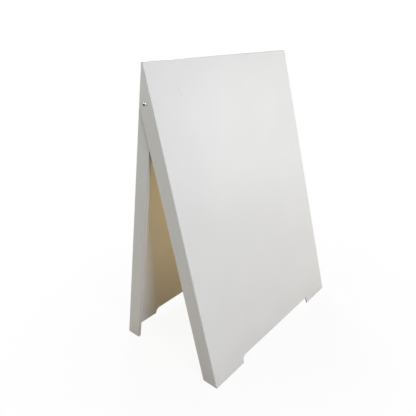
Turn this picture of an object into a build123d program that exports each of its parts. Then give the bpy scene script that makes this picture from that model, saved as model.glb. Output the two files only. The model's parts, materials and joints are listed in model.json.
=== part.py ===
from build123d import *
import os
from math import acos, atan2, cos, degrees, hypot, radians, sin, tan

# Folding sandwich board: two folded steel trays that hinge on one screw at each side, near the top.
# Millimetres, +Z up. The board stands open. The origin is on the floor, midway between the two
# rows of feet, and the front tray faces -Y. The rear tray nests inside the front one when closed.

# ---- Trays ----
panel_length = 900.0      # from the top fold to the feet, along the panel
board_width = 640.0       # over the outsides of the front tray's flanges
sheet = 1.2               # thickness of the steel sheet
bend_radius = 1.3         # inside radius of every ordinary bend
flange_depth = 50.0       # depth of the folded sides of both trays, over the sheet
nest_clearance = 0.8      # closed board, rear lips to the inside of the front panel
lip_width = 9.0           # lip turned in along the edge of each rear flange
edge_hem_width = 7.0      # flattened safe edge along each front flange
edge_hem_gap = 0.2        # slit left inside that flattened edge
cut_back_start = 3.0      # the flanges are cut back from this far below the pivot
fold_relief = 4.0         # lips and flattened edges start this far below the cut-back
top_hem_width = 12.0      # open hem along the top of both panels
top_hem_gap = 2.6         # space inside that hem
foot_width = 128.0        # foot at each bottom corner, along the panel's width
arch_height = 21.0        # how far the bottom edge is cut away between the feet
arch_corner_radius = 15.0
stop_clearance = 0.3      # between the two top hems, which stop the board as it opens

# ---- Hinge ----
pivot_drop = 97.0         # from the top fold down to the screw, along the panel
screw_diameter = 6.0
screw_length = 16.0       # under the head
head_diameter = 10.5
head_height = 3.3
head_rim = 0.4            # straight rim under the dome of the head
head_flat_diameter = 5.8  # flat on the top of the dome
socket_across_flats = 4.0
socket_depth = 2.0
screw_chamfer = 0.6
spacer_thickness = 2.0    # plastic washer between the two flanges
spacer_diameter = 14.0
washer_thickness = 1.6
washer_diameter = 12.0
nut_across_flats = 10.0
nut_height = 8.0
nut_hex_height = 5.2
nut_chamfer_angle = 30.0
collar_diameter = 8.9     # round collar of the nut, which holds the plastic ring
collar_wall = 0.4
collar_rounding = 0.7
insert_height = 1.9
axial_play = 0.1          # each side of the rear flange, along the screw
running_clearance = 0.1   # radial, between the screw and the rear flange
assembly_clearance = 0.2  # radial, where the screw passes through clamped pieces
thread_clearance = 0.02   # radial, between plain surfaces that stand for mating threads

# ---- Worked out from the above ----
bend_outside = bend_radius + sheet
closed_depth = flange_depth + nest_clearance + sheet
pivot_depth = closed_depth / 2
flange_gap = spacer_thickness + axial_play
rear_width = board_width - 2 * (sheet + flange_gap)
top_fold_radius = sheet + top_hem_gap / 2
edge_fold_radius = sheet + edge_hem_gap / 2
edge_fold_depth = max(edge_hem_width, bend_outside) + sheet

# Each panel leans at the angle at which the two top hems meet. The hem's round back reaches
# top_fold_radius * (1 + cos(lean) - sin(lean)) behind the panel's top corner, and that corner is
# pivot_depth * cos(lean) - pivot_drop * sin(lean) in front of the pivot.
hem_from_pivot = hypot(pivot_depth - top_fold_radius, pivot_drop - top_fold_radius)
hem_direction = atan2(pivot_drop - top_fold_radius, pivot_depth - top_fold_radius)
lean = acos((top_fold_radius + stop_clearance / 2) / hem_from_pivot) - hem_direction
closing_angle = 2 * degrees(lean)
ridge_half = pivot_depth * cos(lean) - pivot_drop * sin(lean)
top_height = panel_length * cos(lean)
pivot_height = (panel_length - pivot_drop) * cos(lean) - pivot_depth * sin(lean)

# Up from cut_back_drop each flange is cut back, parallel to the other panel when the board is open.
cut_back_drop = pivot_drop + cut_back_start
flange_top_depth = flange_depth - cut_back_drop * tan(2 * lean)
# Both top hems stop short of the rear flanges, which pass beside the front hem.
hem_half_width = rear_width / 2 - sheet - nest_clearance
arch_width = board_width - 2 * foot_width
reach = 2 * panel_length  # longer than any cut needs

# Places along each screw, measured inward from the outside of the front flange.
spacer_start = sheet
rear_flange_start = sheet + flange_gap
washer_start = rear_flange_start + sheet + axial_play
nut_start = washer_start + washer_thickness
insert_start = nut_start + nut_hex_height + collar_wall
running_hole = screw_diameter + 2 * running_clearance
clearance_hole = screw_diameter + 2 * assembly_clearance
thread_bore = screw_diameter + 2 * thread_clearance
insert_diameter = collar_diameter - 2 * collar_wall

# Outside face of each panel: local X across, local Y up the panel, origin on the top edge.
front_face = Plane(origin=(0, -ridge_half, top_height), x_dir=(1, 0, 0), z_dir=(0, -cos(lean), sin(lean)))
rear_face = Plane(origin=(0, ridge_half, top_height), x_dir=(-1, 0, 0), z_dir=(0, cos(lean), sin(lean)))


def cross_section(face):
    """Plane square to a panel's length, with its local Y pointing into the board."""
    return Plane(origin=face.origin, x_dir=face.x_dir, z_dir=face.y_dir)


def side_view(face):
    """Plane square to a panel's width: local X is depth into the board, local Y is up the panel."""
    return Plane(origin=face.origin, x_dir=-face.z_dir, z_dir=face.x_dir)


def tray_section(width, hemmed):
    """Section of a tray: panel, two flanges, and along each flange a flattened hem or a lip."""
    with BuildSketch() as section:
        with BuildLine():
            panel = Line((0, 0), (width / 2 - bend_outside, 0))
            corner = JernArc(panel @ 1, (1, 0), bend_outside, 90)
            if hemmed:
                flange = Line(corner @ 1, (width / 2, flange_depth - edge_fold_radius))
                fold = JernArc(flange @ 1, (0, 1), edge_fold_radius, 180)
                Line(fold @ 1, (fold @ 1) - Vector(0, edge_hem_width - edge_fold_radius))
            else:
                flange = Line(corner @ 1, (width / 2, flange_depth - bend_outside))
                fold = JernArc(flange @ 1, (0, 1), bend_outside, 90)
                Line(fold @ 1, (width / 2 - lip_width, flange_depth))
            mirror(about=Plane.YZ)
            offset(amount=sheet, side=Side.LEFT)
        make_face()
    return section.sketch


def hem_section():
    """Section of the open hem along a panel's top edge, in the panel's side view."""
    with BuildSketch() as section:
        with BuildLine():
            fold = JernArc((0, -top_fold_radius), (0, 1), top_fold_radius, -180)
            Line(fold @ 1, (2 * top_fold_radius, -top_hem_width))
            offset(amount=sheet, side=Side.RIGHT)
        make_face()
    return section.sketch


def folded_tray(face, width, hemmed, hole_diameter):
    """One tray of the board, with its top hem, cut-back flanges, feet and two pivot holes."""
    with BuildPart() as tray:
        with BuildSketch(cross_section(face).offset(-top_fold_radius)):
            add(tray_section(width, hemmed))
        extrude(amount=-panel_length)
        # The flanges are cut back towards the top.
        with BuildSketch(side_view(face)):
            with BuildLine():
                Polyline(
                    (flange_top_depth, 0),
                    (flange_depth, -cut_back_drop),
                    (reach, -cut_back_drop),
                    (reach, 0),
                    close=True,
                )
            make_face()
        extrude(amount=reach, both=True, mode=Mode.SUBTRACT)
        # The lips and the flattened edges start a little below the cut-back.
        with BuildSketch(cross_section(face)):
            with Locations((0, flange_depth)):
                Rectangle(width - 2 * sheet, 2 * edge_fold_depth)
        extrude(amount=-(cut_back_drop + fold_relief), mode=Mode.SUBTRACT)
        # The bottom edge is cut away between the feet.
        with BuildSketch(face):
            with Locations((0, arch_height - panel_length)):
                arch = Rectangle(arch_width, reach, align=(Align.CENTER, Align.MAX))
            fillet(arch.vertices().group_by(Axis.Y)[-1], arch_corner_radius)
        extrude(amount=-(bend_outside + sheet), mode=Mode.SUBTRACT)
        # One hole in each flange for the screw.
        with BuildSketch(side_view(face)):
            with Locations((pivot_depth, -pivot_drop)):
                Circle(hole_diameter / 2)
        extrude(amount=reach, both=True, mode=Mode.SUBTRACT)
        with BuildSketch(side_view(face)):
            add(hem_section())
        extrude(amount=hem_half_width, both=True)
        # The feet are trimmed flat to the floor.
        split(bisect_by=Plane.XY, keep=Keep.TOP)
    return tray


def screw_planes(side):
    """Planes at a screw's seat: one square to the screw, one along it with local Y outward."""
    seat = (side * board_width / 2, 0, pivot_height)
    square = Plane(origin=seat, x_dir=(0, 1, 0), z_dir=(side, 0, 0))
    lengthwise = Plane(origin=seat, x_dir=(0, 1, 0), z_dir=(0, 0, -side))
    return square, lengthwise


def hinge_screw(side):
    """Dome-headed socket screw, pointing inward through both flanges."""
    square, lengthwise = screw_planes(side)
    with BuildPart() as screw:
        with BuildSketch(lengthwise):
            with BuildLine():
                rim = Line((head_diameter / 2, 0), (head_diameter / 2, head_rim))
                dome = TangentArc(rim @ 1, (head_flat_diameter / 2, head_height), tangent=(0, 1))
                Polyline(
                    dome @ 1,
                    (0, head_height),
                    (0, -screw_length),
                    (screw_diameter / 2 - screw_chamfer, -screw_length),
                    (screw_diameter / 2, -screw_length + screw_chamfer),
                    (screw_diameter / 2, 0),
                    rim @ 0,
                )
            make_face()
        revolve(axis=Axis(square.origin, square.z_dir))
        with BuildSketch(square.offset(head_height)):
            RegularPolygon(socket_across_flats / 2, 6, major_radius=False)
        extrude(amount=-socket_depth, mode=Mode.SUBTRACT)
    return screw


def ring(side, start, outside, bore, thickness):
    """Plain washer on a screw, from start inward."""
    square, lengthwise = screw_planes(side)
    with BuildPart() as washer:
        with BuildSketch(square.offset(-start)):
            Circle(outside / 2)
            Circle(bore / 2, mode=Mode.SUBTRACT)
        extrude(amount=-thickness)
    return washer


def lock_nut(side):
    """Hexagon nut with a round collar that is rolled over a plastic ring."""
    square, lengthwise = screw_planes(side)
    corner_radius = nut_across_flats / 2 / cos(radians(30))
    chamfer_height = (corner_radius - nut_across_flats / 2) * tan(radians(nut_chamfer_angle))
    with BuildPart() as nut:
        with BuildSketch(square.offset(-nut_start)):
            RegularPolygon(nut_across_flats / 2, 6, major_radius=False)
        extrude(amount=-nut_hex_height)
        # Both faces of the hexagon are chamfered to its flats.
        with BuildSketch(lengthwise):
            with BuildLine():
                Polyline(
                    (0, -nut_start),
                    (nut_across_flats / 2, -nut_start),
                    (corner_radius, -nut_start - chamfer_height),
                    (corner_radius, -nut_start - nut_hex_height + chamfer_height),
                    (nut_across_flats / 2, -nut_start - nut_hex_height),
                    (0, -nut_start - nut_hex_height),
                    close=True,
                )
            make_face()
        revolve(axis=Axis(square.origin, square.z_dir), mode=Mode.INTERSECT)
        with BuildSketch(square.offset(-nut_start - nut_hex_height)):
            Circle(collar_diameter / 2)
        collar = extrude(amount=-(nut_height - nut_hex_height))
        fillet(collar.faces().sort_by(Axis(square.origin, square.z_dir))[0].edges(), collar_rounding)
        with BuildSketch(square):
            Circle(thread_bore / 2)
        extrude(amount=-reach, mode=Mode.SUBTRACT)
        with BuildSketch(square.offset(-insert_start)):
            Circle(insert_diameter / 2)
        extrude(amount=-insert_height, mode=Mode.SUBTRACT)
    return nut


pieces = {
    "front_panel": folded_tray(front_face, board_width, True, clearance_hole),
    "rear_panel": folded_tray(rear_face, rear_width, False, running_hole),
}
for side, name in ((-1, "left"), (1, "right")):
    pieces[f"{name}_hinge_screw"] = hinge_screw(side)
    pieces[f"{name}_spacer_washer"] = ring(
        side, spacer_start, spacer_diameter, clearance_hole, spacer_thickness
    )
    pieces[f"{name}_flat_washer"] = ring(
        side, washer_start, washer_diameter, clearance_hole, washer_thickness
    )
    pieces[f"{name}_lock_nut"] = lock_nut(side)
    pieces[f"{name}_nut_insert"] = ring(
        side, insert_start, insert_diameter, thread_bore, insert_height
    )

os.makedirs("parts", exist_ok=True)
for name, piece in pieces.items():
    piece.part.label = name
    export_step(piece.part, f"parts/{name}.step")
print(f"lean {degrees(lean):.3f}, closes by {closing_angle:.3f} degrees, pivot height {pivot_height:.3f}")
print(f"ridge half {ridge_half:.3f}, top {top_height:.3f}, flange top depth {flange_top_depth:.3f}")
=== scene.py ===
# %% [markdown]
# # A folding sandwich board
# A pavement sign of the plainest kind: two trays folded from thin steel sheet and painted white,
# with one screw at each side as the hinge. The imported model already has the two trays, cut, bent
# and hemmed, so Blender keeps their shapes and gives them their paint. The small hardware of the
# hinge is modelled again here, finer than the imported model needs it. The first cell loads that
# model as the fixed frame.

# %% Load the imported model
import json
from math import atan2, cos, pi, radians, sin, tan

import bmesh
import bpy
from mathutils import Matrix, Vector


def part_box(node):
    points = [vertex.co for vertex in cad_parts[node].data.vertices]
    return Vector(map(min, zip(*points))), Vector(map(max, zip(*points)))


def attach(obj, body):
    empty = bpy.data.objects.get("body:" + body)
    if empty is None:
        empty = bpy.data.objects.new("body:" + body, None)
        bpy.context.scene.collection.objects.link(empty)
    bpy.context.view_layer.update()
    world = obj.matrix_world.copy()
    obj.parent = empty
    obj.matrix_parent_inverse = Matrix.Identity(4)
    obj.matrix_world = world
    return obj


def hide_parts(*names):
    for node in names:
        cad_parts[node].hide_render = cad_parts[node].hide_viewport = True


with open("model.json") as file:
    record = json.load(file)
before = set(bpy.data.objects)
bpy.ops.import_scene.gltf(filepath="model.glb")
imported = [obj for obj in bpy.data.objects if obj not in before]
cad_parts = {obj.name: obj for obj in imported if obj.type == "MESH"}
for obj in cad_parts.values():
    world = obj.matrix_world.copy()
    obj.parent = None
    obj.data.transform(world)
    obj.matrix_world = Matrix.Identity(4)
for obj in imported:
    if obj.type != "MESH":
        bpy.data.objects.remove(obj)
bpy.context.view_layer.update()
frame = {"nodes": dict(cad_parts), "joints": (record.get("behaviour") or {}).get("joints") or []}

# %% [markdown]
# ## Where things are
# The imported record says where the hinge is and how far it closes. A closed board is flat, so each
# panel leans by half of that. The rest are the sheet-metal worker's own numbers, in metres.

# %% Measure the board
MM = 0.001
hinge = frame["joints"][0]
pivot_height = hinge["pos_m"][2]
lean = radians(hinge["range_deg"][1]) / 2
front_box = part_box("front_panel")
rear_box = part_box("rear_panel")
board_width = front_box[1].x - front_box[0].x
rear_width = rear_box[1].x - rear_box[0].x
flange_depth = 50 * MM
foot_width = 128 * MM
sheet = 1.2 * MM
pivot_drop = 97 * MM   # from the top fold down to the screw, along the panel
pivot_depth = 26 * MM  # from the outside of a panel to the screw
ridge_half = pivot_depth * cos(lean) - pivot_drop * sin(lean)
top_height = pivot_height + pivot_drop * cos(lean) + pivot_depth * sin(lean)
panel_length = top_height / cos(lean)
print(f"panels {panel_length:.3f} m long lean by {lean:.4f} rad, {board_width:.3f} m wide")

# %% [markdown]
# ## Camera
# A person stands at the left of the board and looks slightly down at it. The lens is fairly wide,
# which makes the near corner of the foot look big and the top edge run away. The camera is turned
# by compass bearing, tilt and roll, one matrix each, which reads more easily than one long
# rotation.
# The numbers are uneven because a small program solved for them, from where the board's corners
# should appear.

# %% Set up the camera
bearing = radians(47.866)  # from +Y towards +X
tilt = radians(19.949)     # below the horizon
roll = radians(-2.526)
turn = Matrix.Rotation(-bearing, 4, "Z") @ Matrix.Rotation(pi / 2 - tilt, 4, "X")
camera = bpy.data.objects.new("camera", bpy.data.cameras.new("camera"))
camera.matrix_world = (
    Matrix.Translation((-0.98394, -0.79832, 0.91759)) @ turn @ Matrix.Rotation(roll, 4, "Z")
)
camera.data.sensor_width = 36
camera.data.lens = 35.565
camera.data.shift_y = -0.0415
bpy.context.scene.collection.objects.link(camera)
bpy.context.scene.camera = camera
bpy.context.scene.view_settings.view_transform = "Standard"
print("the camera is", round(camera.location.length, 2), "m from the origin")

# %% [markdown]
# ## Writing shader maths as Python
# A material is a graph of nodes. Adding every node by hand takes many lines, so this small class
# wraps the output of a node and gives it Python's operators: `1 - mask * 0.3` then adds the Math
# nodes by itself. Every other node comes from the `node` method, which takes the node's type, its
# settings, and the values or links of its sockets.

# %% Wrap a shader socket
class Wire:
    def __init__(self, tree, socket=None):
        self.tree = tree
        self.socket = socket

    def node(self, kind, settings, sockets, output=0):
        made = self.tree.nodes.new(kind)
        for name, value in settings.items():
            setattr(made, name, value)
        for name, value in sockets.items():
            if isinstance(value, Wire):
                self.tree.links.new(value.socket, made.inputs[name])
            else:
                made.inputs[name].default_value = value
        return Wire(self.tree, made.outputs[output])

    def math(self, operation, first, second=0.0):
        return self.node("ShaderNodeMath", {"operation": operation}, {0: first, 1: second})

    def __add__(self, other):
        return self.math("ADD", self, other)

    def __mul__(self, other):
        return self.math("MULTIPLY", self, other)

    def __sub__(self, other):
        return self.math("SUBTRACT", self, other)

    def __rsub__(self, other):
        return self.math("SUBTRACT", other, self)

    def __abs__(self):
        return self.math("ABSOLUTE", self)

    __radd__ = __add__
    __rmul__ = __mul__

    def ramp(self, low, high):
        """0 up to low and 1 from high on, with a soft change between. Low may be the larger one."""
        ends = {"Value": self, "From Min": low, "From Max": high}
        return self.node("ShaderNodeMapRange", {"interpolation_type": "SMOOTHSTEP"}, ends)

    def grain(self, per_metre, detail=2.0, roughness=0.5):
        """Soft random patches between 0 and 1, mostly near a half, with self as the place."""
        sockets = {"Vector": self, "Scale": per_metre, "Detail": detail, "Roughness": roughness}
        return self.node("ShaderNodeTexNoise", {}, sockets)

    def axes(self):
        """The three coordinates as three wires."""
        return [self.node("ShaderNodeSeparateXYZ", {}, {0: self}, axis) for axis in range(3)]

    def tint(self, without, full):
        """Blends two colours by self, which runs from 0 to 1."""
        first, second = ((*c, 1.0) if isinstance(c, tuple) else c for c in (without, full))
        return self.node("ShaderNodeMix", {"data_type": "RGBA"}, {0: self, 6: first, 7: second}, 2)

    def bump(self, height, under=None):
        """Tilted normals from self as a relief of that height in metres."""
        sockets = {"Height": self, "Distance": height}
        if under:
            sockets["Normal"] = under
        return self.node("ShaderNodeBump", {}, sockets)


def new_finish(name, **even):
    """A new material with its even values set, the place on the piece, and its shader node."""
    material = bpy.data.materials.new(name)
    material.use_nodes = True
    shader = material.node_tree.nodes["Principled BSDF"]
    for socket, value in even.items():
        shader.inputs[socket.replace("_", " ")].default_value = value
    place = Wire(material.node_tree).node("ShaderNodeTexCoord", {}, {}, "Object")
    return material, place, shader


def feed(shader, **varying):
    """Links what varies over the surface to the shader's sockets."""
    for socket, wire in varying.items():
        wire.tree.links.new(wire.socket, shader.inputs[socket.replace("_", " ")])


print("+, -, * and abs() on a Wire now add Math nodes")

# %% [markdown]
# ## A thin mark on a tray
# A used board has a few hairline scuffs, and one cut edge of the front tray stands in shade, which
# is painted on as a dark band. Each could be a painted texture, but a straight mark is easy to
# write as
# maths: how far a point lies along the line between two places, and how far beside it. Both turn
# into soft masks, and a third one keeps the mark near the outside of the sheet.

# %% Draw a streak
def streak(across, drop, depth, start, end, half_width):
    """A mark from start to end, which are places (across the tray, down from its top)."""
    run = Vector(end) - Vector(start)
    length = run.length
    run = run / length
    right, down = across - start[0], drop - start[1]
    along = right * run.x + down * run.y
    beside = abs(right * run.y - down * run.x).ramp(1.5 * half_width, 0.5 * half_width)
    outside = depth.ramp(2 * half_width, half_width)
    return beside * outside * along.ramp(0, 0.4 * length) * along.ramp(length, 0.8 * length)


arch_end = board_width / 2 - foot_width
hairline = 0.4 * MM
shaded_cut_edge_width = 2.8 * MM
# Start and end of each mark, its half width, and how strong it is.
front_marks = [
    ((-225.5 * MM, 60 * MM), (-214 * MM, 99 * MM), hairline, 0.32),
    ((58.5 * MM, 16 * MM), (62.5 * MM, 27 * MM), hairline, 0.2),
    # The last mark is painted shade: a dark band on the cut edge at the right end of the arch,
    # which stands in shadow.
    ((arch_end, 874 * MM), (arch_end, 906 * MM), shaded_cut_edge_width, 0.95),
]
print(len(front_marks), "marks on the front tray")

# %% [markdown]
# ## Powder coat on the trays
# The trays are sprayed with dry powder and baked, which leaves a tough satin skin. Up close it is
# never flat: the melted powder sets in low waves a millimetre or two apart, called orange peel,
# with a finer grain on top. The spray goes on from outside, so the hollow side of a tray gets a
# thinner, creamier coat. Grime settles near the feet, and the paint dulls along the bends where
# hands and trolleys rub it.
#
# A Mapping node of type Texture turns the object's coordinates into the tray's own: across it, into
# its depth, and down it from the top fold. All the masks are written in those.

# %% Mix the paint for a tray
WHITE, OFF_WHITE = (0.815, 0.815, 0.81), (0.845, 0.845, 0.84)
CREAM, DEEP_CREAM = (0.80, 0.785, 0.765), (0.78, 0.76, 0.73)
# The first colour on the next line is painted light: cool light falling into the hollows.
PAINTED_COOL_LIGHT, EDGE_GREY, RUBBED = (0.775, 0.81, 0.88), (0.53, 0.53, 0.535), (0.62, 0.63, 0.65)
# The last colour on the next line darkens the scratches and one band of painted shade.
GRIME, CHIPPED, SCRATCH_AND_SHADE = (0.50, 0.43, 0.34), (0.32, 0.28, 0.23), (0.13, 0.13, 0.10)


def tray_paint(name, side, width, marks):
    """Powder coat for a tray: side -1 is the front tray and 1 the rear one."""
    material, place, shader = new_finish(name, Specular_IOR_Level=0.45, Coat_Roughness=0.3)
    turned = {"Location": (0, side * ridge_half, top_height), "Rotation": (side * lean, 0, 0)}
    tray = place.node("ShaderNodeMapping", {"vector_type": "TEXTURE"}, {"Vector": place, **turned})
    across, inward, upward = tray.axes()
    from_side = width / 2 - abs(across)
    depth = inward * -side
    drop = upward * -1
    above = panel_length - drop

    # The hollow side starts inside the sheet and ends at the free edges of the flanges.
    hollow = depth.ramp(0.3 * MM, 0.9 * MM) * from_side.ramp(0.3 * MM, 0.9 * MM)
    hollow = hollow * depth.ramp(flange_depth - 0.2 * MM, flange_depth - 0.8 * MM)
    thick = tray.grain(5, 3).ramp(0.2, 0.8)
    # A pool of cool light that falls in at the side openings is painted into the hollow as a bluish
    # band along the sides, the wider the further down, where the trays stand apart.
    cool_light_band = (from_side - drop * 0.14).ramp(22 * MM, -22 * MM)
    hollow_under_cool_light = cool_light_band.tint(thick.tint(CREAM, DEEP_CREAM), PAINTED_COOL_LIGHT)
    colour = hollow.tint(thick.tint(WHITE, OFF_WHITE), hollow_under_cool_light)
    # The last millimetres at the free edges of the flanges are greyed.
    greyed_edge = depth.ramp(flange_depth - 1.8 * MM, flange_depth - 1.0 * MM)
    colour = (greyed_edge * 0.6).tint(colour, EDGE_GREY)
    # Rubbed paint along the two long bends.
    bend = (from_side + depth).ramp(3.2 * MM, 0.8 * MM)
    rubbed = bend * tray.grain(70, 4, 0.6).ramp(0.45, 0.7)
    colour = (rubbed * 0.30).tint(colour, RUBBED)
    # Grime rises from the floor, broken up by patches.
    grime = above.ramp(110 * MM, 0.0) * (tray.grain(26, 5, 0.65).ramp(0.3, 0.8) * 0.5 + 0.5)
    colour = (grime * 0.17).tint(colour, GRIME)
    for start, end, half_width, strength in marks:
        mark = streak(across, drop, depth, start, end, half_width)
        colour = (mark * strength).tint(colour, SCRATCH_AND_SHADE)
    # Chips in the last millimetres of the feet.
    chips = above.ramp(4 * MM, 1 * MM) * tray.grain(190, 4, 0.6).ramp(0.5, 0.6)
    colour = (chips * 0.6).tint(colour, CHIPPED)

    peel = tray.grain(650, 2, 0.4) * 0.75 + tray.grain(3000, 2, 0.5) * 0.25
    slow = tray.grain(9, 2)
    feed(
        shader,
        Base_Color=colour,
        Roughness=0.44 + tray.grain(45, 3) * 0.10 + grime * 0.2 - rubbed * 0.1,
        Coat_Weight=0.15 - hollow * 0.12,
        Normal=peel.bump(0.035 * MM, slow.bump(0.8 * MM)),
    )
    return material


for node, side, width, marks in (
    ("front_panel", -1, board_width, front_marks),
    ("rear_panel", 1, rear_width, []),
):
    tray = frame["nodes"][node]
    tray.material_slots[0].material = tray_paint(f"{node}_powder_coat", side, width, marks)
    print("painted", tray.name)

# %% [markdown]
# ## Zinc plating and nylon
# The screws, washers and nuts are steel, electroplated with zinc and dipped to keep it bright,
# which leaves a faint play of blue and straw colour. The shader is metallic, its colour drifts
# between those two, and fine grain breaks up the highlight. The shade in the socket of each screw
# and a dark reflection on the lower part of its head are painted on, as a dark disc from a mask
# round the hinge line, a little below it. It could be a material of its own, but the mask fades
# softly into the clean rim. The plastic pieces are moulded nylon.

# %% Mix the zinc and the nylon
shade_disc_radius = 2.9 * MM
# The last colour on the next line is painted shade and a painted dark reflection for the screw
# heads.
BLUISH, STRAW, PAINTED_HEAD_SHADE = (0.70, 0.725, 0.75), (0.78, 0.74, 0.62), (0.035, 0.032, 0.018)


def zinc_plate():
    material, place, shader = new_finish("zinc_plate", Specular_IOR_Level=0.5)
    along, back, up = place.axes()
    # The middle of the painted shade is just below the screw's.
    from_shade_disc_middle = up - (pivot_height - 0.5 * MM)
    round_it = place.node("ShaderNodeCombineXYZ", {}, {1: back, 2: from_shade_disc_middle})
    away = place.node("ShaderNodeVectorMath", {"operation": "LENGTH"}, {0: round_it}, "Value")
    play = place.grain(420, 3, 0.6).ramp(0.3, 0.7)
    colour = play.tint(BLUISH, STRAW)
    on_head = abs(along).ramp(board_width / 2, board_width / 2 + 0.5 * MM)
    # A dark disc of painted shade over the socket, with a painted dark reflection below it.
    shaded_head = away.ramp(shade_disc_radius + 0.5 * MM, shade_disc_radius - 0.5 * MM) * on_head
    colour = (shaded_head * 0.93).tint(colour, PAINTED_HEAD_SHADE)
    feed(
        shader,
        Base_Color=colour,
        Metallic=1 - shaded_head * 0.8,
        Roughness=0.24 + place.grain(900, 3) * 0.16 + shaded_head * 0.4,
        Normal=place.grain(2600, 3, 0.6).bump(0.02 * MM),
    )
    return material


def moulded_nylon(name, colour, worn):
    material, place, shader = new_finish(name, Specular_IOR_Level=0.4)
    cloud = place.grain(300, 3, 0.6)
    feed(
        shader,
        Base_Color=cloud.ramp(0.3, 0.7).tint(colour, worn),
        Roughness=0.42 + cloud * 0.16,
        Normal=place.grain(4200, 2).bump(0.015 * MM),
    )
    return material


zinc = zinc_plate()
white_nylon = moulded_nylon("moulded_white_nylon", (0.83, 0.82, 0.79), (0.76, 0.74, 0.69))
blue_nylon = moulded_nylon("moulded_blue_nylon", (0.035, 0.14, 0.46), (0.05, 0.19, 0.52))
print("mixed", [m.name for m in (zinc, white_nylon, blue_nylon)])

# %% [markdown]
# ## Growing a turned piece ring by ring
# Washers, nuts and screw heads are all turned or stamped about one axis, but the nut's outside and
# the screw's socket are hexagons. Spinning a profile can't make those, so every piece grows ring by
# ring: it starts as a circle, its open edge is extruded, and the new ring is moved out, in or along
# the axis. A ring may also be a hexagon, because the distance to a hexagon's side is a simple
# function of the angle. If the last ring lands on the first one, merging closes the piece into a
# tube.

# %% Grow rings
RING = 72  # points in a ring, a multiple of six so that a hexagon's corners are sharp


def hexagon(across_flats, angle):
    """Distance from the middle of a hexagon to its outline, in the direction of angle."""
    return across_flats / 2 / cos((angle % (pi / 3)) - pi / 6)


def grow(rings, solid=False):
    """A piece from (radius, height) rings. A radius may be a function of the angle."""
    bm = bmesh.new()
    bmesh.ops.create_circle(bm, cap_ends=solid, segments=RING, radius=1)
    edges = bm.edges[:]
    for index, (radius, height) in enumerate(rings):
        if index:
            made = bmesh.ops.extrude_edge_only(bm, edges=edges)["geom"]
            edges = [item for item in made if isinstance(item, bmesh.types.BMEdge)]
        for vert in {v for e in edges for v in e.verts}:
            angle = atan2(vert.co.y, vert.co.x)
            away = radius(angle) if callable(radius) else radius
            vert.co = (away * cos(angle), away * sin(angle), height)
    return bm


print("a ring has", RING, "points, so each side of a hexagon has", RING // 6)

# %% [markdown]
# ## Rounding a profile
# A profile with square corners looks machined from soap. Even a stamped washer has a little
# rounding, and that is what catches the light, so each corner of a profile becomes a few points on
# a small curve.

# %% Round the corners of a profile
def rounded(corners, radius, closed=True, steps=3):
    """The profile's points, with each corner replaced by steps + 1 points on a curve."""
    corners = [Vector(corner) for corner in corners]
    points = []
    for index, corner in enumerate(corners):
        if not closed and index in (0, len(corners) - 1):
            points.append(corner)
            continue
        into = (corners[index - 1] - corner).normalized() * radius
        out = (corners[(index + 1) % len(corners)] - corner).normalized() * radius
        shares = [step / steps for step in range(steps + 1)]
        points += [corner + into * (1 - t) ** 2 + out * t**2 for t in shares]
    return points + points[:1] if closed else points


corner = rounded([(0, 0), (1, 0), (1, 1)], 0.1, closed=False)[1:-1]
print("a rounded corner has", len(corner), "points")

# %% [markdown]
# ## Laying a piece on the hinge line
# Each piece grows upright about the Z axis, from its outer end. It then has to lie along the hinge,
# the left ones and the right ones as mirror images. The turn and the place go into the mesh itself,
# and the object stays at the origin, so that the finishes keep to the model's own coordinates.

# %% Close, lay down and register a piece
def on_the_hinge(name, bm, side, start, material):
    """Closes a piece, lays it on the hinge line, start metres from the outside, and rides it."""
    bmesh.ops.remove_doubles(bm, verts=bm.verts[:], dist=0.001 * MM)
    bmesh.ops.recalc_face_normals(bm, faces=bm.faces[:])
    seat = Matrix.Translation((side * (board_width / 2 - start), 0, pivot_height))
    lay = seat @ Matrix.Rotation(-side * pi / 2, 4, "Y")
    bmesh.ops.transform(bm, matrix=lay, verts=bm.verts[:])
    mesh = bpy.data.meshes.new(name)
    bm.to_mesh(mesh)
    holes = sum(len(edge.link_faces) != 2 for edge in bm.edges)
    bm.free()
    mesh.shade_smooth()
    mesh.set_sharp_from_angle(angle=radians(35))
    mesh.materials.append(material)
    piece = bpy.data.objects.new(f"{name}_fine", mesh)
    bpy.context.scene.collection.objects.link(piece)
    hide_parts(name)
    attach(piece, "front")
    print(piece.name, len(mesh.polygons), "faces,", holes, "open edges")


SIDES = ((-1, "left"), (1, "right"))
print("pieces go on the hinge line,", round(pivot_height, 4), "m up")

# %% [markdown]
# ## Spacer and washer
# The nylon spacer keeps the two flanges apart, so that paint doesn't rub on paint. The steel washer
# spreads the nut's pressure. Both are tubes: a rectangle of (radius, height) points, rounded at its
# corners and grown round the axis. The spacer is moulded, so its corners are rounder than the
# washer's.

# %% Make the spacers and washers
bore = 3.2 * MM
spacer_across, spacer_thickness, spacer_rounding = 14 * MM, 2 * MM, 0.45 * MM
washer_across, washer_thickness, washer_rounding = 12 * MM, 1.6 * MM, 0.2 * MM
washer_start = 4.6 * MM  # behind both flanges and the spacer, with room for the rear one to turn


def ring_profile(across, thickness, rounding):
    corners = [(bore, 0), (across / 2, 0), (across / 2, thickness), (bore, thickness)]
    return rounded(corners, rounding)


for side, hand in SIDES:
    spacer = grow(ring_profile(spacer_across, spacer_thickness, spacer_rounding))
    on_the_hinge(f"{hand}_spacer_washer", spacer, side, sheet, white_nylon)
    washer = grow(ring_profile(washer_across, washer_thickness, washer_rounding))
    on_the_hinge(f"{hand}_flat_washer", washer, side, washer_start, zinc)

# %% [markdown]
# ## Dome-headed screw
# The head is a low dome with a hexagon socket. Growing starts at the flat tip, runs up the shank,
# out under the head, over the dome, and down into the socket, where the rings turn from circles
# into hexagons, to end in the cone that the punch leaves. The dome is an arc that starts upright at
# the head's rim and ends at the small flat on top, which fixes its radius.

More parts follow.
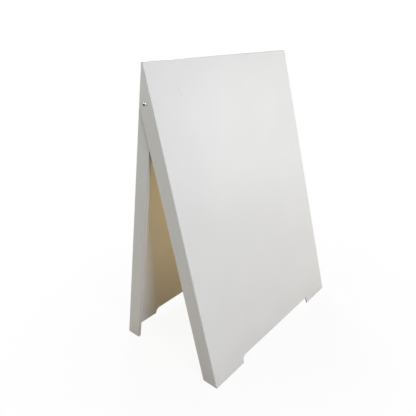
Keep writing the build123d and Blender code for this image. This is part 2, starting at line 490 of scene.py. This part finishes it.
# %% List the rings of a screw
screw_length = 16 * MM
shank = 3 * MM
root = 2.45 * MM
head = 5.25 * MM
head_height = 3.3 * MM
rim = 0.4 * MM
flat = 2.9 * MM
socket_flats = 4 * MM
socket_depth = 2 * MM
dome_height = head_height - rim
dome = ((head - flat) ** 2 + dome_height**2) / (2 * (head - flat))  # radius of the arc
dome_end = atan2(dome_height, flat - head + dome)
DOME_STEPS = 12


def socket(across_flats):
    return lambda angle: hexagon(across_flats, angle)


def screw_rings():
    shaft = [
        (1.9 * MM, screw_length),
        (root, screw_length - 0.6 * MM),
        (root, 1.3 * MM),
        (shank, 0.8 * MM),
        (shank, 0),
        (head - 0.15 * MM, 0),
        (head, -0.15 * MM),
    ]
    turns = [dome_end * step / DOME_STEPS for step in range(DOME_STEPS + 1)]
    arc = [(head - dome + dome * cos(t), -rim - dome * sin(t)) for t in turns]
    hollow = [
        (2.6 * MM, -head_height),
        (socket(socket_flats + 0.25 * MM), 0.02 * MM - head_height),
        (socket(socket_flats), 0.2 * MM - head_height),
        (socket(socket_flats), socket_depth - head_height),
        (0, socket_depth + 0.6 * MM - head_height),
    ]
    return shaft + arc + hollow


print("a screw grows through", len(screw_rings()), "rings")

# %% [markdown]
# ## The thread
# A thread is one small trapezium spun round the shank while it moves along by a pitch each turn,
# which bmesh.ops.spin does with its dvec. It sinks a little into the shank, and stays a solid of
# its own.

# %% Coil the thread and make the screws
pitch = 1 * MM
TURN_STEPS = 24
thread_start, thread_end = 1.8 * MM, screw_length - 1.1 * MM
ridge = [
    (2.4 * MM, -0.42 * MM),
    (2.97 * MM, -0.07 * MM),
    (2.97 * MM, 0.07 * MM),
    (2.4 * MM, 0.42 * MM),
]


def add_thread(bm):
    """One ridge, coiled round the shank from near the head to the tip."""
    verts = [bm.verts.new((radius, 0, thread_start + height)) for radius, height in ridge]
    face = bm.faces.new(verts)
    steps = round((thread_end - thread_start) / pitch * TURN_STEPS)
    bmesh.ops.spin(
        bm,
        geom=[face, *face.edges, *verts],
        cent=(0, 0, 0),
        axis=(0, 0, 1),
        dvec=(0, 0, pitch / TURN_STEPS),
        angle=2 * pi * steps / TURN_STEPS,
        steps=steps,
    )


for side, hand in SIDES:
    screw = grow(screw_rings(), solid=True)
    add_thread(screw)
    on_the_hinge(f"{hand}_hinge_screw", screw, side, 0, zinc)

# %% [markdown]
# ## Lock nut
# Both faces of the hexagon are chamfered by a cone, which leaves the curved shoulders of a real
# nut. With rings that is one line: a ring's radius is the hexagon's or the cone's, whichever is
# smaller. The collar above it is rolled over the blue nylon ring, which grips the thread.

# %% Make the lock nuts and their inserts
nut_flats = 10 * MM
nut_start = washer_start + washer_thickness
hex_height = 5.2 * MM
thread_bore = 3.02 * MM
chamfer_slope = tan(radians(30))
collar_out, collar_in, collar_top = 4.45 * MM, 3.7 * MM, 7.98 * MM
seat_height, lip_height = 5.6 * MM, 7.5 * MM  # floor and ceiling of the groove for the insert


def shoulder(cone):
    return lambda angle: min(hexagon(nut_flats, angle), cone)


def nut_rings():
    cones = [nut_flats / 2 + out * MM for out in (-0.1, 0.1, 0.3, 0.5, 0.65, 0.78)]
    lower = [(shoulder(cone), (cone - cones[0]) * chamfer_slope) for cone in cones]
    upper = [(shape, hex_height - height) for shape, height in reversed(lower)]
    bottom = [(thread_bore, 0.5 * MM), (3.45 * MM, 0.05 * MM), (3.6 * MM, 0)]
    corners = [
        (collar_out + 0.3 * MM, hex_height),
        (collar_out, hex_height),
        (collar_out, collar_top),
        (collar_in, collar_top),
        (collar_in, lip_height),
    ]
    collar = rounded(corners, 0.28 * MM, closed=False)
    groove = [(4.05 * MM, lip_height), (4.05 * MM, seat_height), (thread_bore, seat_height)]
    return bottom + lower + upper + collar + groove + bottom[:1]


def insert_profile():
    corners = [
        (thread_bore, seat_height),
        (4.03 * MM, seat_height),
        (4.03 * MM, 7.3 * MM),
        (3.6 * MM, lip_height),
        (thread_bore, 7.2 * MM),
    ]
    return rounded(corners, 0.08 * MM)


for side, hand in SIDES:
    on_the_hinge(f"{hand}_lock_nut", grow(nut_rings()), side, nut_start, zinc)
    insert = grow(insert_profile())
    on_the_hinge(f"{hand}_nut_insert", insert, side, nut_start, blue_nylon)

# %% [markdown]
# ## Floor
# The board stands on a pale studio floor that runs into the background with no horizon. Two discs
# share the work. The one that the camera sees is almost a light itself, and wholly one from a metre
# away, so that only a faint shadow shows under the board. The one that light bounces from is a warm
# wood tone and is hidden from the camera, so that the hollow of the board gets the warm light of a
# room.

# %% Lay the floor
FLOOR_RADIUS = 30


def floor_disc(name, height):
    bm = bmesh.new()
    bmesh.ops.create_circle(bm, cap_ends=True, segments=96, radius=FLOOR_RADIUS)
    bmesh.ops.translate(bm, verts=bm.verts[:], vec=(0, 0, height))
    mesh = bpy.data.meshes.new(name)
    bm.to_mesh(mesh)
    bm.free()
    disc = bpy.data.objects.new(name, mesh)
    bpy.context.scene.collection.objects.link(disc)
    return disc


seen_floor = floor_disc("seen_floor", -0.2 * MM)
paper, place, shader = new_finish(
    "white_floor", Base_Color=(0.9, 0.9, 0.9, 1), Roughness=0.9, Specular_IOR_Level=0.0
)
from_middle = place.node("ShaderNodeVectorMath", {"operation": "LENGTH"}, {0: place}, "Value")
glow = place.node("ShaderNodeEmission", {}, {"Color": (1, 1, 1, 1), "Strength": 1.0})
# The share of plain light: 0.92 under the board, and all of it from a metre away.
share = from_middle.ramp(0.2, 1.0) * 0.08 + 0.92
matt = Wire(paper.node_tree, shader.outputs[0])
blended = place.node("ShaderNodeMixShader", {}, {0: share, 1: matt, 2: glow})
output = paper.node_tree.nodes["Material Output"]
paper.node_tree.links.new(blended.socket, output.inputs["Surface"])
seen_floor.data.materials.append(paper)
seen_floor.visible_diffuse = False
seen_floor.visible_glossy = False
seen_floor.visible_shadow = False

warm_floor = floor_disc("bouncing_floor", -1 * MM)
wood, place, shader = new_finish(
    "warm_bounce", Base_Color=(0.52, 0.43, 0.33, 1), Roughness=0.9, Specular_IOR_Level=0.0
)
warm_floor.data.materials.append(wood)
warm_floor.visible_camera = False
print("laid", seen_floor.name, "and", warm_floor.name)

# %% [markdown]
# ## Sky
# The sky of the studio is white to the camera and dim as a light, which keeps some contrast between
# the sides of the board. A gloss sees it half bright, because a polished screw needs something to
# mirror. A Light Path node tells the three apart.

# %% Paint the sky
MIRRORED, AMBIENT = 0.45, 0.05  # how bright the sky is to a gloss, and as a light
studio = bpy.data.worlds.new("studio")
studio.use_nodes = True
bpy.context.scene.world = studio
tree = Wire(studio.node_tree)
seen = tree.node("ShaderNodeLightPath", {}, {}, "Is Camera Ray")
shiny = tree.node("ShaderNodeLightPath", {}, {}, "Is Glossy Ray")
strength = seen + shiny * MIRRORED + AMBIENT
sky = tree.node("ShaderNodeBackground", {}, {"Color": (1, 1, 1, 1), "Strength": strength})
output = studio.node_tree.nodes["World Output"]
studio.node_tree.links.new(sky.socket, output.inputs["Surface"])
print("the sky is", studio.name)

# %% [markdown]
# ## Soft boxes
# Large area lights make the soft, almost even light of a studio. A cool window lights the front
# from the left, two lamps fill the right, one hangs above, and two stand behind, so that no side is
# dull. Inside the hollow, a real board glows with light that has bounced many times. A few samples
# can't carry that, so one weak box hangs inside the front tray and shines on the rear one. There
# the closed board hides it. The camera sees none of the boxes.
#
# Light adds up, so each lamp can be rendered alone, and a small least-squares program can work out
# how strong each should be. The strengths and colours of the window, the two lamps on the right,
# the left one behind and the weak one come from that, rounded and then changed a little.
# The one above and the right one behind were set one by one, and so were all the places and sizes.

# %% Light the studio
def soft_box(name, place, target, size, colour, watts):
    light = bpy.data.lights.new(name, "AREA")
    light.shape = "RECTANGLE"
    light.size, light.size_y = size
    light.color = colour
    light.energy = watts
    lamp = bpy.data.objects.new(name, light)
    lamp.location = place
    lamp.rotation_euler = (Vector(target) - Vector(place)).to_track_quat("-Z", "Y").to_euler()
    lamp.visible_camera = False
    bpy.context.scene.collection.objects.link(lamp)
    return lamp


middle = (0, 0, 0.4)
soft_box("window", (-1.1, -3.0, 1.7), middle, (0.9, 0.9), (0.885, 0.925, 1.0), 56)
soft_box("high_lamp", (2.6, -2.2, 1.6), middle, (1.2, 1.2), (1.0, 0.97, 0.85), 12)
soft_box("low_lamp", (1.8, -1.7, 0.75), middle, (1.0, 1.0), (0.98, 1.0, 0.98), 15.5)
soft_box("top_lamp", (0.2, -0.3, 3.0), middle, (1.4, 1.4), (1.0, 1.0, 1.0), 9)
soft_box("left_back", (-2.2, 2.2, 1.4), middle, (1.2, 1.2), (0.955, 1.0, 0.965), 34)
soft_box("right_back", (2.0, 2.4, 1.8), middle, (1.2, 1.2), (0.96, 0.975, 1.0), 80)

glow_drop = 0.5       # from the top fold down the tray
glow_depth = 20 * MM  # into the hollow
up_tray = Vector((0, sin(lean), cos(lean)))
into_tray = Vector((0, cos(lean), -sin(lean)))
fold = Vector((0, -ridge_half, top_height))
glow_place = fold - up_tray * glow_drop + into_tray * glow_depth
hollow_glow = soft_box(
    "hollow_glow", glow_place, glow_place + into_tray, (0.56, 0.62), (1.0, 0.735, 0.28), 0.43
)
hollow_glow.visible_glossy = False
